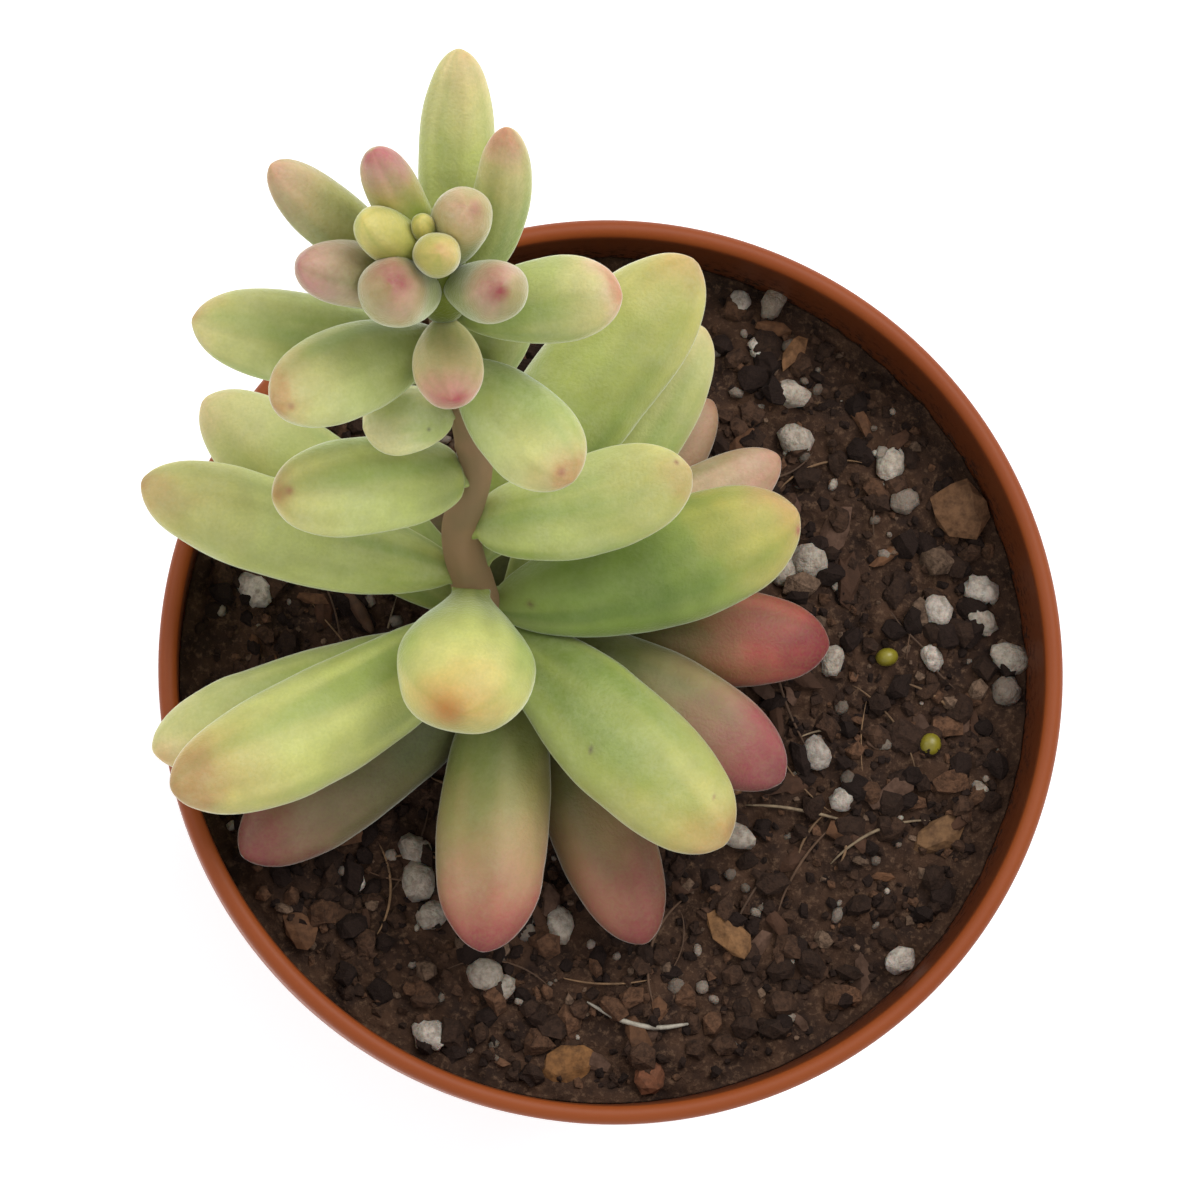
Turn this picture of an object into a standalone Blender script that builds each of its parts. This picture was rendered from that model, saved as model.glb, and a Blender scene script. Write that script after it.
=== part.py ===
"""A jelly bean plant that stands in soil in a round plastic nursery pot.

The model is in metres with +Z up. Its origin is the middle of the pot's underside. Seen from
above, +X is to the right and +Y to the back. Lengths in this file are in millimetres, and MM
turns them into metres where a mesh is made.
"""

import math
import random
from typing import NamedTuple

import bmesh
import bpy
import numpy as np
from mathutils import Matrix, Vector, noise

MM = 0.001
GAP = 0.3  # left between two solids that touch
ROUND_GAP = 0.33  # the same round a faceted tube, whose flats would narrow it

# The pot: a thin moulded wall with a band round its rim. Its base stands on a foot ring and a
# pad in the middle, and the drain holes are in the shallow channel between them.
RIM_RADIUS = 32.5
LIP_RADIUS = 0.7
POT_HEIGHT = 58.0
BAND_FLOOR = 50.0
BAND_FOOT_RADIUS = 32.3
BAND_INNER_RADIUS = 30.9
BAND_EDGE = 0.4
BODY_TOP_RADIUS = 30.6
WALL = 1.2
BASE_RADIUS = 23.4
BASE_THICKNESS = 1.8
HEEL = 1.0
FOOT_WIDTH = 3.0
CHANNEL_END = BASE_RADIUS - HEEL - FOOT_WIDTH
CHANNEL_DEPTH = 0.6
CHANNEL_SLOPE = 0.8
PAD_RADIUS = 7.0
DRAIN_HOLES = 6
DRAIN_RADIUS = 2.5
DRAIN_CIRCLE = 13.2
DRAIN_SIDES = 8
POT_SIDES = 40

# The soil, whose lumpy surface lies below the rim.
SOIL_TOP = 51.0
SOIL_EDGE = 50.3
SOIL_RINGS = 12
LUMP_HEIGHT = 0.7
LUMP_SIZE = 5.0
CRUMB_SIZE = 1.9

# Perlite and bark chips that stand out of the soil.
GRAIN_COUNT = 36
GRAIN_CIRCLE = 27.5
GRAIN_SIZE = (1.4, 3.2)
GRAIN_SHAPE = (1.25, 0.9, 0.7)
GRAIN_TILT = 0.3
GRAIN_SHIFT = 0.15
GRAIN_SEED = 7

# The stem: points that its middle passes through, each with its radius there.
STEM_PATH = (
    ((-5.0, 1.5, 40.0), 1.6),
    ((-5.7, 1.8, 51.0), 1.6),
    ((-10.7, 5.0, 66.0), 1.5),
    ((-11.9, 8.5, 71.0), 1.3),
    ((-11.2, 12.0, 76.0), 1.2),
    ((-12.2, 15.8, 81.0), 1.2),
    ((-13.9, 19.9, 87.0), 1.1),
    ((-14.6, 22.0, 92.0), 1.0),
    ((-15.6, 23.9, 97.0), 0.9),
)
STEM_TOP = 91.5
STEM_SIDES = 10
STEM_STEP = 2.5

# Every leaf widens from a narrow root and ends in a round tip. These are shares of its size.
ROOT_WIDTH = 0.28
ROOT_DEPTH = 0.04
WIDEST_AT = 0.60
LAST_RING = 0.998
TIP_ROUNDNESS = 2.3
THICKNESS = 0.78
FLATTER_TOP = 0.85
LEAF_SIDES = 10
LEAF_RINGS = 9
CROWN_LEAF_SIDES = 8
CROWN_LEAF_RINGS = 6


class Leaf(NamedTuple):
    """Where a leaf leaves the stem, where it ends, and how its middle is bent."""

    name: str
    root: float  # height on the stem
    tip: tuple
    width: float
    lift: float = 0.0  # of the middle, upwards
    sway: float = 0.0  # of the middle, to the left as seen from the stem
    neck: float = 0.8  # 1 widens slowly from the root, 0.5 at once
    bow: float = 0.0  # of the middle, away from the stem


HEAD_LEAVES = (
    Leaf("leaf_head_back", 88.0, (-13.8, 36.5, 97.0), 5.0, -1.0, -0.3),
    Leaf("leaf_head_back_right", 89.0, (-10.9, 30.7, 100.5), 3.9, -1.1, -1.3),
    Leaf("leaf_head_back_left", 88.5, (-25.9, 28.7, 97.0), 4.3, -0.5, 0.0, 0.6),
    Leaf("leaf_head_right", 88.0, (-2.8, 21.2, 92.5), 5.8, -0.3, 0.3),
    Leaf("leaf_head_front", 89.0, (-14.0, 14.0, 94.0), 4.7, -1.0),
    Leaf("leaf_head_left", 83.6, (-30.7, 20.2, 86.2), 6.2),
    Leaf("leaf_head_front_left", 86.5, (-25.5, 13.9, 92.0), 6.2, -0.3),
    Leaf("leaf_head_front_right", 84.5, (-5.6, 9.6, 88.0), 6.4, -0.3),
)
MID_LEAVES = (
    Leaf("leaf_mid_high_left", 80.5, (-19.1, 13.7, 82.0), 4.6, 0.0, 0.0, 0.6),
    Leaf("leaf_mid_left", 75.5, (-25.1, 9.1, 81.0), 6.7, 0.0, 0.0, 0.5),
    Leaf("leaf_mid_back", 80.0, (-9.1, 23.8, 86.0), 4.6),
    Leaf("leaf_mid_right", 71.0, (3.4, 11.8, 77.0), 7.0, 0.0, -0.7, 0.6),
)
WHORL_LEAVES = (
    Leaf("leaf_whorl_left", 67.0, (-33.8, 11.5, 70.0), 6.8, 0.0, 0.7, 0.7),
    Leaf("leaf_whorl_right", 63.5, (11.9, 10.1, 68.0), 8.6, 0.0, -1.0, 0.7),
    Leaf("leaf_whorl_high_back_right", 67.5, (4.2, 26.9, 73.0), 8.6, 0.0, 0.9),
    Leaf("leaf_whorl_back_right", 59.5, (5.4, 23.2, 67.0), 7.0),
    Leaf("leaf_whorl_front_right", 62.0, (7.0, -13.0, 66.0), 8.6),
    Leaf("leaf_whorl_front", 66.3, (-12.1, -4.9, 76.0), 9.7, -1.0, 0.0, 1.2),
    Leaf("leaf_whorl_front_left", 62.5, (-31.6, -9.6, 68.5), 8.0, 0.0, 1.3, 0.7),
    Leaf("leaf_whorl_low_left", 57.6, (-32.8, -6.5, 62.5), 7.0),
    Leaf("leaf_whorl_back_left", 61.0, (-29.5, 17.9, 65.0), 7.6),
)
LOW_LEAVES = (
    Leaf("leaf_low_back_right", 53.0, (7.3, 19.7, 55.2), 5.5, 0.5),
    Leaf("leaf_low_right_back", 57.0, (11.7, 14.5, 59.0), 5.5),
    Leaf("leaf_low_right", 54.2, (15.5, 1.8, 57.0), 7.2, 0.2, 0.6),
    Leaf("leaf_low_right_front", 58.0, (11.8, -8.1, 59.5), 7.2, 0.3, 1.0),
    Leaf("leaf_low_front_right", 53.0, (2.4, -19.5, 56.0), 7.0, 0.5),
    Leaf("leaf_low_front", 56.3, (-9.5, -20.3, 59.7), 8.0),
    Leaf("leaf_low_front_left", 53.2, (-26.4, -13.5, 57.4), 7.4),
    Leaf("leaf_low_back_left", 53.2, (-16.5, 13.5, 55.5), 5.6),
    Leaf("leaf_low_back", 56.3, (-9.2, 18.6, 59.5), 5.8),
)
CROWN_LEAVES = (
    Leaf("back_left", 94.0, (-19.6, 28.8, 102.0), 3.5, -0.6, 0.0, 0.6),
    Leaf("left", 94.5, (-20.2, 24.3, 102.0), 3.5, -0.5, 0.0, 0.6),
    Leaf("tip_back", 95.5, (-16.5, 24.7, 101.0), 1.7),
    Leaf("tip_front", 95.0, (-15.4, 22.1, 103.0), 3.1),
    Leaf("back_right", 93.5, (-13.6, 25.2, 102.5), 3.9, 0.0, 0.0, 0.6, 0.8),
    Leaf("far_left", 92.0, (-24.1, 21.8, 99.0), 4.4, -0.6, 0.0, 0.6),
    Leaf("front_left", 92.0, (-18.3, 20.2, 101.5), 4.7, 0.0, 0.0, 0.6, 1.2),
    Leaf("front_right", 92.5, (-11.3, 20.3, 101.5), 4.2, 0.0, 0.0, 0.6, 1.2),
)
CROWN_CORE_RADIUS = 1.3


def clear_scene():
    for thing in list(bpy.data.objects):
        bpy.data.objects.remove(thing)


def make_material(name, colour, roughness):
    """Returns a Principled material with this sRGB colour."""
    linear = [c / 12.92 if c <= 0.04045 else ((c + 0.055) / 1.055) ** 2.4 for c in colour]
    material = bpy.data.materials.new(name)
    material.use_nodes = True
    shader = material.node_tree.nodes["Principled BSDF"]
    shader.inputs["Base Color"].default_value = (*linear, 1.0)
    shader.inputs["Roughness"].default_value = roughness
    shader.inputs["Metallic"].default_value = 0.0
    material.diffuse_color = (*linear, 1.0)
    return material


def add_object(name, mesh, material=None, collection=None):
    thing = bpy.data.objects.new(name, mesh)
    (collection or bpy.context.scene.collection).objects.link(thing)
    if material:
        mesh.materials.append(material)
        mesh.shade_smooth()
        mesh.set_sharp_from_angle(angle=math.radians(40))
    return thing


def mesh_from_rings(name, rings):
    """Skins rings of points, in mm, into a closed tube whose ends are fans to their own middles."""
    count, sides, _ = rings.shape
    points = np.concatenate([rings.reshape(-1, 3), rings[[0, -1]].mean(axis=1)]) * MM
    faces = []
    for i in range(count - 1):
        for j in range(sides):
            k = (j + 1) % sides
            faces.append((i * sides + j, i * sides + k, (i + 1) * sides + k, (i + 1) * sides + j))
    start, end = count * sides, count * sides + 1
    last = (count - 1) * sides
    for j in range(sides):
        k = (j + 1) % sides
        faces.append((start, k, j))
        faces.append((end, last + j, last + k))
    mesh = bpy.data.meshes.new(name)
    mesh.from_pydata([tuple(p) for p in points], [], faces)
    face_outwards(mesh)
    return mesh


def face_outwards(mesh):
    bm = bmesh.new()
    bm.from_mesh(mesh)
    bmesh.ops.recalc_face_normals(bm, faces=bm.faces)
    bm.to_mesh(mesh)
    bm.free()


def add_boolean(thing, operation, other=None, collection=None):
    modifier = thing.modifiers.new(operation.title(), "BOOLEAN")
    modifier.operation = operation
    modifier.solver = "EXACT"
    if collection:
        modifier.operand_type = "COLLECTION"
        modifier.collection = collection
    else:
        modifier.object = other
    return modifier


def fuse(thing, pieces):
    """Joins a collection of closed pieces to thing in one Boolean union, then removes them."""
    add_boolean(thing, "UNION", collection=pieces)
    graph = bpy.context.evaluated_depsgraph_get()
    joined = bpy.data.meshes.new_from_object(thing.evaluated_get(graph))
    thing.modifiers.clear()
    thing.data = joined
    for piece in list(pieces.objects):
        bpy.data.objects.remove(piece)
    bpy.data.collections.remove(pieces)


def new_collection(name):
    collection = bpy.data.collections.new(name)
    bpy.context.scene.collection.children.link(collection)
    return collection


# Pot


def pot_outline():
    """(radius, height) from the middle of the underside, up the outside and down the inside."""
    outer = [
        (0.0, 0.0),
        (PAD_RADIUS, 0.0),
        (PAD_RADIUS + CHANNEL_SLOPE, CHANNEL_DEPTH),
        (CHANNEL_END - CHANNEL_SLOPE, CHANNEL_DEPTH),
        (CHANNEL_END, 0.0),
        (BASE_RADIUS - HEEL, 0.0),
        (BASE_RADIUS, HEEL),
        (BODY_TOP_RADIUS, BAND_FLOOR),
        (BAND_FOOT_RADIUS - BAND_EDGE, BAND_FLOOR),
        (BAND_FOOT_RADIUS, BAND_FLOOR + BAND_EDGE),
    ]
    lip = [
        (
            RIM_RADIUS - LIP_RADIUS * (1.0 - math.cos(turn)),
            POT_HEIGHT - LIP_RADIUS * (1.0 - math.sin(turn)),
        )
        for turn in np.linspace(0.0, math.pi, 5)
    ]
    inner = [
        (BAND_INNER_RADIUS, BAND_FLOOR),
        (BODY_TOP_RADIUS - WALL, BAND_FLOOR - WALL),
        (BASE_RADIUS - WALL, BASE_THICKNESS),
        (0.0, BASE_THICKNESS),
    ]
    return outer + lip + inner


def turned_mesh(name, outline):
    """Spins an outline of (radius, height) points, in mm, once round the Z axis."""
    bm = bmesh.new()
    points = [bm.verts.new((r * MM, 0.0, z * MM)) for r, z in outline]
    edges = [bm.edges.new(pair) for pair in zip(points, points[1:])]
    bmesh.ops.spin(
        bm,
        geom=points + edges,
        cent=(0.0, 0.0, 0.0),
        axis=(0.0, 0.0, 1.0),
        angle=math.tau,
        steps=POT_SIDES,
    )
    bmesh.ops.remove_doubles(bm, verts=bm.verts, dist=1e-6)
    bmesh.ops.recalc_face_normals(bm, faces=bm.faces)
    mesh = bpy.data.meshes.new(name)
    bm.to_mesh(mesh)
    bm.free()
    return mesh


def make_drain_cutter():
    bm = bmesh.new()
    for i in range(DRAIN_HOLES):
        angle = math.tau * (i + 0.5) / DRAIN_HOLES
        spot = Vector((math.cos(angle), math.sin(angle), 0.0)) * DRAIN_CIRCLE * MM
        bmesh.ops.create_cone(
            bm,
            segments=DRAIN_SIDES,
            radius1=DRAIN_RADIUS * MM,
            radius2=DRAIN_RADIUS * MM,
            depth=4.0 * BASE_THICKNESS * MM,
            cap_ends=True,
            matrix=Matrix.Translation(spot),
        )
    mesh = bpy.data.meshes.new("drain_cutter")
    bm.to_mesh(mesh)
    bm.free()
    return as_cutter(add_object("drain_cutter", mesh))


def as_cutter(thing):
    thing.hide_render = True
    thing.display_type = "WIRE"
    return thing


def make_pot():
    plastic = make_material("terracotta_plastic", (0.64, 0.35, 0.23), 0.45)
    pot = add_object("pot", turned_mesh("pot", pot_outline()), plastic)
    add_boolean(pot, "DIFFERENCE", make_drain_cutter())


# Stem


def stem_centre(height):
    """The middle of the stem at a height, by a smooth curve through the points of its path."""
    return hermite([p[0] for p in STEM_PATH], height)


def stem_radius(height):
    return float(np.interp(height, [p[0][2] for p in STEM_PATH], [p[1] for p in STEM_PATH]))


def hermite(points, height):
    """A cubic through points in rising order, whose slope at each comes from its neighbours."""
    points = np.array(points)
    z = points[:, 2]
    slopes = np.gradient(points, z, axis=0)
    i = int(np.clip(np.searchsorted(z, height) - 1, 0, len(z) - 2))
    span = z[i + 1] - z[i]
    t = (height - z[i]) / span
    start = (2 * t**3 - 3 * t**2 + 1) * points[i] + (t**3 - 2 * t**2 + t) * span * slopes[i]
    end = (3 * t**2 - 2 * t**3) * points[i + 1] + (t**3 - t**2) * span * slopes[i + 1]
    return start + end


def stem_rings(low, high, extra):
    """Rings across the stem from one height to another, wider than the stem by extra."""
    rings = []
    for height in np.linspace(low, high, math.ceil((high - low) / STEM_STEP) + 1):
        along = stem_centre(height + 0.5) - stem_centre(height - 0.5)
        along /= np.linalg.norm(along)
        side = np.cross(along, (0.0, 1.0, 0.0))
        side /= np.linalg.norm(side)
        front = np.cross(along, side)
        turn = np.linspace(0.0, math.tau, STEM_SIDES, endpoint=False)[:, None]
        radius = stem_radius(height) + extra
        rings.append(stem_centre(height) + radius * (np.cos(turn) * side + np.sin(turn) * front))
    return np.array(rings)


def make_stem():
    bark = make_material("stem_bark", (0.50, 0.39, 0.27), 0.8)
    low = STEM_PATH[0][0][2]
    add_object("stem", mesh_from_rings("stem", stem_rings(low, STEM_TOP, 0.0)), bark)


def make_stem_cutter():
    """The stem with the gap round it, which cuts the leaf roots and the hole in the soil."""
    low = STEM_PATH[0][0][2] - GAP
    mesh = mesh_from_rings("stem_cutter", stem_rings(low, STEM_TOP + GAP, ROUND_GAP))
    return as_cutter(add_object("stem_cutter", mesh))


# Leaves


def leaf_girth(s, neck):
    """Half the width at s, from 0 at the stem's skin to 1 at the tip, as a share of the widest."""
    if s < WIDEST_AT:
        opening = math.sin(0.5 * math.pi * max(0.0, s / WIDEST_AT) ** neck)
        return ROOT_WIDTH + (1.0 - ROOT_WIDTH) * opening
    u = (s - WIDEST_AT) / (1.0 - WIDEST_AT)
    return math.sqrt(max(0.0, 1.0 - u**TIP_ROUNDNESS))


def leaf_stations(count):
    """Places along a leaf, from inside the stem to its tip, closer together at its round end."""
    to_widest = np.linspace(0.0, 1.0, count // 2) ** 1.3 * WIDEST_AT
    turn = np.linspace(0.0, 0.5 * math.pi, count - count // 2)[1:]
    round_end = WIDEST_AT + (LAST_RING - WIDEST_AT) * np.sin(turn)
    return np.concatenate([[-ROOT_DEPTH], to_widest, round_end])


def leaf_rings(leaf, sides, count):
    """The leaf's skin: an ellipse, flatter on top, carried along a bent line from root to tip."""
    root = stem_centre(leaf.root)
    tip = np.array(leaf.tip)
    outward = (tip - root) * (1.0, 1.0, 0.0)
    outward /= np.linalg.norm(outward)
    across = np.array((-outward[1], outward[0], 0.0))
    bend = across * leaf.sway + outward * leaf.bow + np.array((0.0, 0.0, leaf.lift))
    middle = (root + tip) / 2 + bend
    control = 2 * middle - (root + tip) / 2
    skin = stem_radius(leaf.root) / np.linalg.norm(tip - root)
    rings = []
    for s in leaf_stations(count):
        t = skin + s * (1.0 - skin)
        centre = (1 - t) ** 2 * root + 2 * t * (1 - t) * control + t**2 * tip
        along = (1 - t) * (control - root) + t * (tip - control)
        along /= np.linalg.norm(along)
        side = across - along * across.dot(along)
        side /= np.linalg.norm(side)
        above = np.cross(along, side)
        half = 0.5 * leaf.width * leaf_girth(s, leaf.neck)
        turn = np.linspace(0.0, math.tau, sides, endpoint=False)
        up = np.sin(turn)
        up = half * THICKNESS * np.where(up > 0, FLATTER_TOP * up, up)
        rings.append(centre + np.outer(half * np.cos(turn), side) + np.outer(up, above))
    return np.array(rings)


def make_leaves(leaves, material, stem_cutter):
    for leaf in leaves:
        mesh = mesh_from_rings(leaf.name, leaf_rings(leaf, LEAF_SIDES, LEAF_RINGS))
        add_boolean(add_object(leaf.name, mesh, material), "DIFFERENCE", stem_cutter)


def make_crown():
    """The youngest leaves, grown together round the end of the stem."""
    young = make_material("young_leaf", (0.76, 0.72, 0.50), 0.5)
    low = STEM_TOP + GAP
    high = STEM_PATH[-1][0][2]
    rings = stem_rings(low, high, CROWN_CORE_RADIUS - stem_radius(high))
    crown = add_object("crown", mesh_from_rings("crown", rings), young)
    pieces = new_collection("crown_leaves")
    for leaf in CROWN_LEAVES:
        rings = leaf_rings(leaf, CROWN_LEAF_SIDES, CROWN_LEAF_RINGS)
        add_object(leaf.name, mesh_from_rings(leaf.name, rings), young, pieces)
    fuse(crown, pieces)


# Soil


def soil_height(x, y):
    """The lumpy surface of the soil: two sizes of noise about its level."""
    coarse = noise.noise(Vector((x / LUMP_SIZE, y / LUMP_SIZE, 0.0)))
    fine = noise.noise(Vector((x / CRUMB_SIZE, y / CRUMB_SIZE, 5.0)))
    return SOIL_TOP + LUMP_HEIGHT * (coarse + 0.5 * fine)


def soil_rings():
    """Rings from the middle of the soil's underside, up its side and in over its top."""
    edge = BAND_INNER_RADIUS - ROUND_GAP
    outline = [
        (1.0, BASE_THICKNESS + GAP),
        (BASE_RADIUS - WALL - ROUND_GAP, BASE_THICKNESS + GAP),
        (BODY_TOP_RADIUS - WALL - ROUND_GAP, BAND_FLOOR - WALL + GAP),
        (edge, SOIL_EDGE),
    ]
    turn = np.linspace(0.0, math.tau, POT_SIDES, endpoint=False)
    rings = []
    for radius, height in outline:
        flat = np.full(POT_SIDES, height)
        rings.append(np.column_stack([radius * np.cos(turn), radius * np.sin(turn), flat]))
    for radius in np.linspace(edge, 1.0, SOIL_RINGS):
        x = radius * np.cos(turn)
        y = radius * np.sin(turn)
        z = [max(soil_height(*place), SOIL_EDGE + 0.1) for place in zip(x, y)]
        rings.append(np.column_stack([x, y, z]))
    return np.array(rings)


def make_grains(material):
    """Strews the grains evenly over the soil, by the rule of a sunflower's seeds."""
    draw = random.Random(GRAIN_SEED)
    golden_angle = math.pi * (3.0 - math.sqrt(5.0))
    pieces = new_collection("grains")
    for i in range(GRAIN_COUNT):
        radius = GRAIN_CIRCLE * math.sqrt((i + 0.5) / GRAIN_COUNT)
        angle = i * golden_angle + draw.uniform(-GRAIN_SHIFT, GRAIN_SHIFT)
        x = radius * math.cos(angle)
        y = radius * math.sin(angle)
        size = draw.uniform(*GRAIN_SIZE) / 2
        bm = bmesh.new()
        bmesh.ops.create_icosphere(bm, subdivisions=1, radius=size * MM)
        turn = Matrix.Rotation(draw.uniform(0.0, math.tau), 4, "Z")
        tilt = Matrix.Rotation(draw.uniform(-GRAIN_TILT, GRAIN_TILT), 4, "X")
        place = Matrix.Translation(Vector((x, y, soil_height(x, y))) * MM)
        shape = Matrix.Diagonal((*GRAIN_SHAPE, 1.0))
        bmesh.ops.transform(bm, matrix=place @ turn @ tilt @ shape, verts=bm.verts)
        mesh = bpy.data.meshes.new("grain")
        bm.to_mesh(mesh)
        bm.free()
        add_object("grain", mesh, material, pieces)
    return pieces


def make_soil(stem_cutter):
    mix = make_material("potting_mix", (0.24, 0.17, 0.13), 0.95)
    soil = add_object("soil", mesh_from_rings("soil", soil_rings()), mix)
    fuse(soil, make_grains(mix))
    add_boolean(soil, "DIFFERENCE", stem_cutter)


def main():
    clear_scene()
    stem_cutter = make_stem_cutter()
    make_pot()
    make_soil(stem_cutter)
    make_stem()
    green = make_material("leaf_green", (0.72, 0.76, 0.50), 0.5)
    head_green = make_material("head_leaf_green", (0.75, 0.77, 0.53), 0.5)
    low_green = make_material("low_leaf_green", (0.66, 0.62, 0.44), 0.5)
    make_leaves(HEAD_LEAVES, head_green, stem_cutter)
    make_leaves(MID_LEAVES + WHORL_LEAVES, green, stem_cutter)
    make_leaves(LOW_LEAVES, low_green, stem_cutter)
    make_crown()


main()
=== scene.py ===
# Jelly bean plant in soil in a round plastic nursery pot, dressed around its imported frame.
# Lengths are in millimetres until a mesh is made. +X is to the right and +Y to the back.
import math
import bmesh
import bpy
import numpy as np
from mathutils import Matrix, Vector


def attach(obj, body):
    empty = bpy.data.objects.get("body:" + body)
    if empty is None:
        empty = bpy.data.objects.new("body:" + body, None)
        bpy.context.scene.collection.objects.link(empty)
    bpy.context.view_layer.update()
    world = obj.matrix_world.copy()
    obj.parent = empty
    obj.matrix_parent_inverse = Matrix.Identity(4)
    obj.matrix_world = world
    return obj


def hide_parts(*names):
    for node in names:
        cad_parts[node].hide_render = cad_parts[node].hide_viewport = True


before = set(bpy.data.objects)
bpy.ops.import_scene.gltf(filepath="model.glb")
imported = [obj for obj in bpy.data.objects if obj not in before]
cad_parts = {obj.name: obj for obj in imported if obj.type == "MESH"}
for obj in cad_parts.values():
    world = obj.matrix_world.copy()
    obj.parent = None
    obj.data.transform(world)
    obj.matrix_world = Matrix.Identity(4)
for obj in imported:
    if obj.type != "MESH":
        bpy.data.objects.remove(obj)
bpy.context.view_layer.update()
mm = 0.001
body = "root"
print("frame loaded:", len(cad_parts), "nodes")


# Colours and nodes

def linearOf(hexColour):
    # sRGB hex to linear: c/12.92 below 0.04045, and ((c + 0.055)/1.055)^2.4 above it
    srgb = np.array([int(hexColour[i:i + 2], 16) / 255 for i in (1, 3, 5)])
    return np.where(srgb <= 0.04045, srgb / 12.92, ((srgb + 0.055) / 1.055) ** 2.4)


def rgba(hexColour):
    return (*linearOf(hexColour), 1.0)


def addNode(tree, kind, settings=None, inputs=None):
    # inputs: socket name or number -> a value, or the output socket that feeds it
    node = tree.nodes.new("ShaderNode" + kind)
    for key, value in (settings or {}).items():
        setattr(node, key, value)
    for key, value in (inputs or {}).items():
        if isinstance(value, bpy.types.NodeSocket):
            tree.links.new(value, node.inputs[key])
        else:
            node.inputs[key].default_value = value
    return node


def startMaterial(name, shaderInputs):
    material = bpy.data.materials.new(name)
    material.use_nodes = True
    tree = material.node_tree
    shader = tree.nodes["Principled BSDF"]
    for key, value in shaderInputs.items():
        shader.inputs[key].default_value = value
    place = addNode(tree, "TexCoord").outputs["Object"]
    return material, tree, shader, place


def attributeOf(tree, name, output="Color"):
    return addNode(tree, "Attribute", {"attribute_name": name}).outputs[output]


def noiseOf(tree, place, size, detail=2.0, roughness=0.5):
    # size is the width of one lump in millimetres
    settings = {"Vector": place, "Scale": 1000.0 / size, "Detail": detail, "Roughness": roughness}
    return addNode(tree, "TexNoise", None, settings).outputs["Fac"]


def rangeOf(tree, value, low, high, toLow=0.0, toHigh=1.0):
    inputs = {"Value": value, "From Min": low, "From Max": high, "To Min": toLow, "To Max": toHigh}
    return addNode(tree, "MapRange", None, inputs).outputs["Result"]


def mixOf(tree, factor, first, second, blend="MIX"):
    settings = {"data_type": "RGBA", "blend_type": blend}
    return addNode(tree, "Mix", settings, {0: factor, 6: first, 7: second}).outputs[2]


def timesOf(tree, first, second, settings=None):
    multiply = {"operation": "MULTIPLY"} | (settings or {})
    return addNode(tree, "Math", multiply, {0: first, 1: second}).outputs[0]


def bumpOf(tree, shader, height, depth):
    # depth is the height of the relief in millimetres
    inputs = {"Height": height, "Strength": 1.0, "Distance": depth * mm}
    bump = addNode(tree, "Bump", None, inputs)
    tree.links.new(bump.outputs["Normal"], shader.inputs["Normal"])


# Meshes

def evenTurns(count):
    return np.linspace(0, math.tau, count, endpoint=False)


def ringPoints(radius, angle, height):
    return np.stack([radius * np.cos(angle), radius * np.sin(angle), height], -1)


def addMesh(name, points, faces, material, attributes=None, smooth=True):
    # points (n, 3) in millimetres; faces is a list of index arrays, each (m, corners)
    mesh = bpy.data.meshes.new(name)
    mesh.vertices.add(len(points))
    mesh.vertices.foreach_set("co", (np.asarray(points) * mm).astype(np.float32).ravel())
    corners = np.concatenate([f.ravel() for f in faces])
    counts = np.concatenate([np.full(len(f), f.shape[1]) for f in faces])
    mesh.loops.add(len(corners))
    mesh.loops.foreach_set("vertex_index", corners.astype(np.int32))
    mesh.polygons.add(len(counts))
    starts = np.concatenate([[0], np.cumsum(counts)[:-1]])
    mesh.polygons.foreach_set("loop_start", starts.astype(np.int32))
    mesh.polygons.foreach_set("use_smooth", np.full(len(counts), smooth))
    mesh.update(calc_edges=True)
    for key, values in (attributes or {}).items():
        kind, field = ("FLOAT_COLOR", "color") if values.shape[1] == 4 else ("FLOAT_VECTOR", "vector")
        layer = mesh.attributes.new(key, kind, "POINT")
        layer.data.foreach_set(field, values.astype(np.float32).ravel())
    mesh.materials.append(material)
    piece = bpy.data.objects.new(name, mesh)
    bpy.context.scene.collection.objects.link(piece)
    return piece


def tubeFaces(rows, columns, first=0):
    # quads of a tube whose columns join up, then a fan at each end to the two last points
    row = np.arange(rows - 1)[:, None] * columns
    here = np.arange(columns)[None, :]
    after = (here + 1) % columns
    quads = np.stack([row + here, row + after, row + columns + after, row + columns + here], -1)
    here, after = here[0], after[0]
    last = (rows - 1) * columns
    start = np.stack([np.full(columns, rows * columns), after, here], -1)
    end = np.stack([np.full(columns, rows * columns + 1), last + here, last + after], -1)
    return [quads.reshape(-1, 4) + first, start + first, end + first]


def closedTube(grid):
    # grid (rows, columns, 3) to its points, with the middle of each end ring after them
    return np.concatenate([grid.reshape(-1, grid.shape[2]), grid[[0, -1]].mean(axis=1)])


def addTubes(name, material, tubes):
    # tubes holds (grid, tint) pairs: each is closed at its ends, and all become one mesh
    points = [closedTube(grid) for grid, _ in tubes]
    firsts = np.cumsum([0] + [len(part) for part in points])
    faces = [part for (grid, _), first in zip(tubes, firsts) for part in tubeFaces(*grid.shape[:2], first)]
    tint = np.concatenate([closedTube(colours) for _, colours in tubes])
    return addMesh(name, np.concatenate(points), faces, material, {"tint": tint})


def evenTint(grid, colour, alpha=1.0):
    return np.tile([*colour, alpha], (*grid.shape[:2], 1))


def finishPiece(piece, slot, *nodes):
    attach(piece, body)
    if nodes:
        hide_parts(*nodes)
    return piece


# Smooth noise from -1 to 1: random values on a lattice, blended by 6t^5 - 15t^4 + 10t^3 along
# each axis. Octaves add it at half the size and half the height each time.
lattice = np.random.default_rng(3).uniform(-1, 1, (32, 32, 32))


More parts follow.
